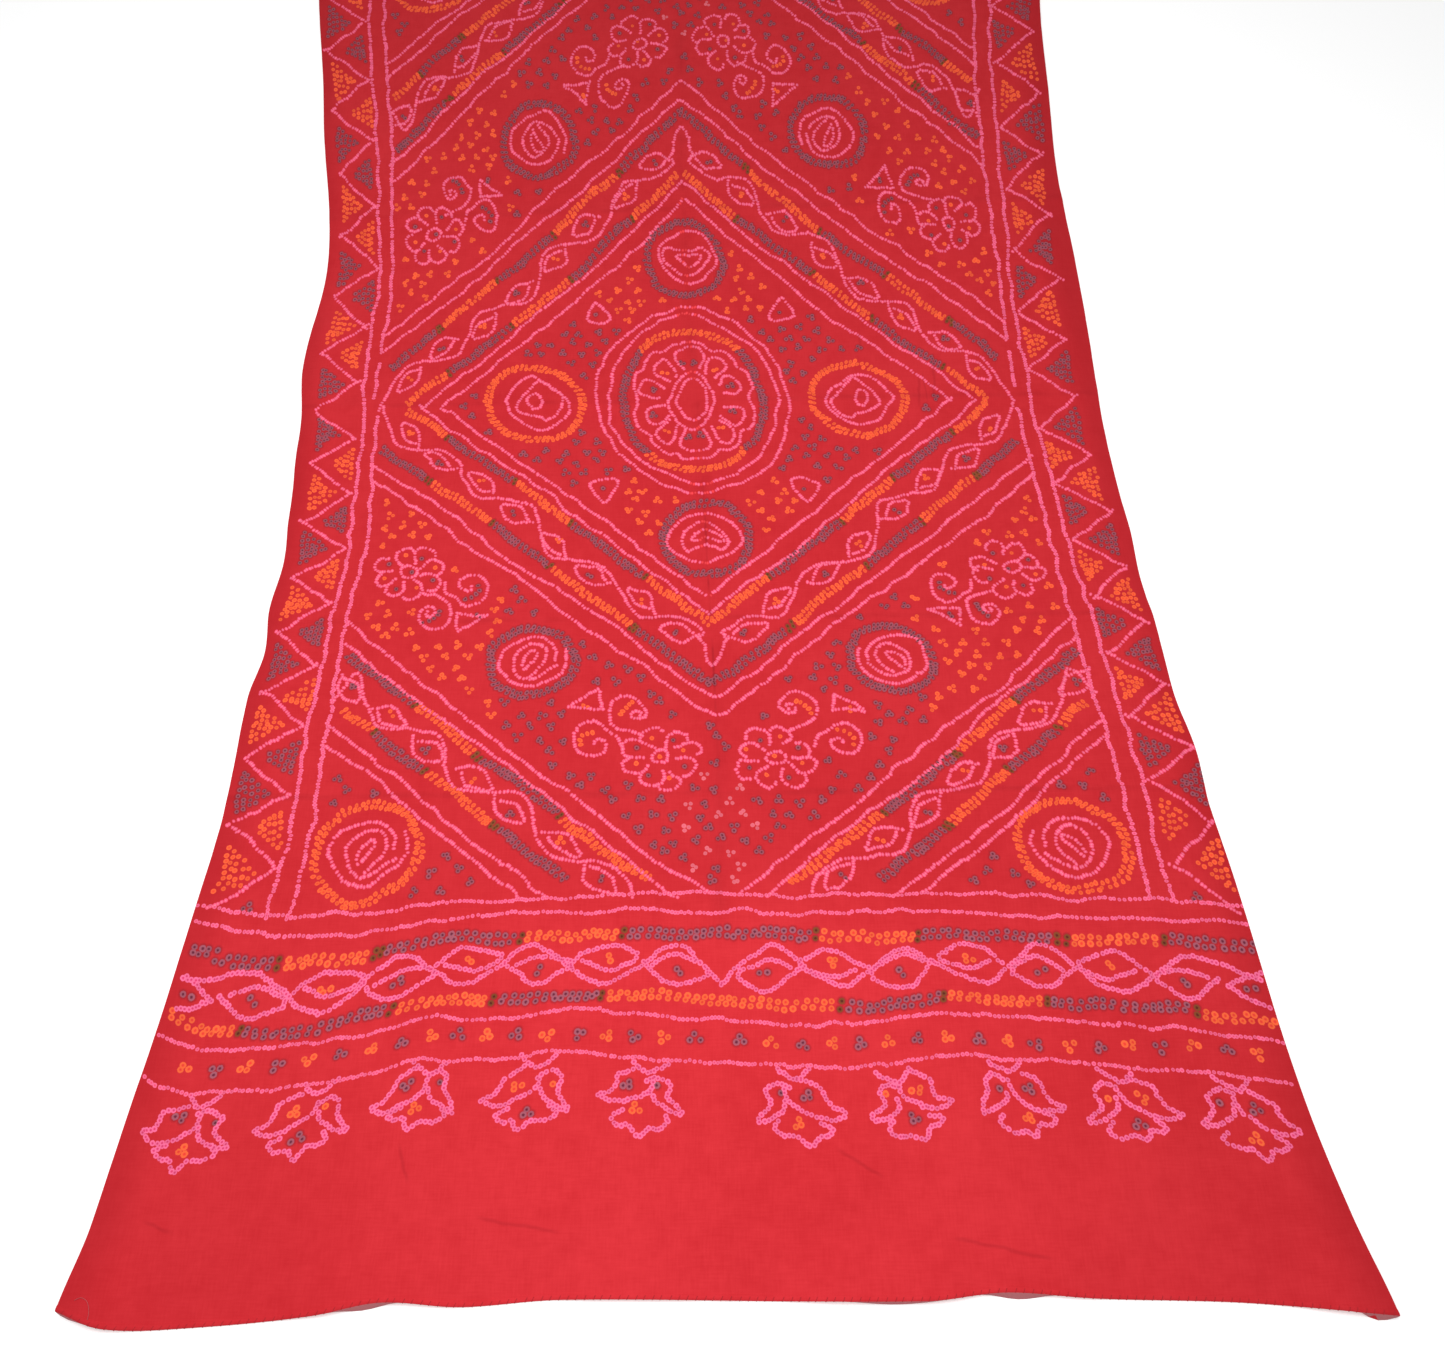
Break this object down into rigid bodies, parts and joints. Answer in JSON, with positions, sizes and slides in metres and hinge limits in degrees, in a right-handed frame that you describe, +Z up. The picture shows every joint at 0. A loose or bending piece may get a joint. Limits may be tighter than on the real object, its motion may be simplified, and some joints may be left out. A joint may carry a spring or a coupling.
{
  "type": "bandhani tie-dyed shawl, laid flat",
  "caption": "Long red tie-dyed cloth laid out flat, its dotted field drawn in at the sides and its hemmed plain ends flared.",
  "frame": {"origin": "centre of the cloth's box, on the surface that it lies on", "axes": "+X across the cloth, +Y along its length from the near hem to the far hem, +Z up out of its face"},
  "size_m": [1.0668, 1.9461, 0.0105],
  "materials": {
    "red_cloth": "matt plain weave, tie-dyed"
  },
  "bodies": {
    "root": {"cloth": "red_cloth"}
  },
  "joints": []
}
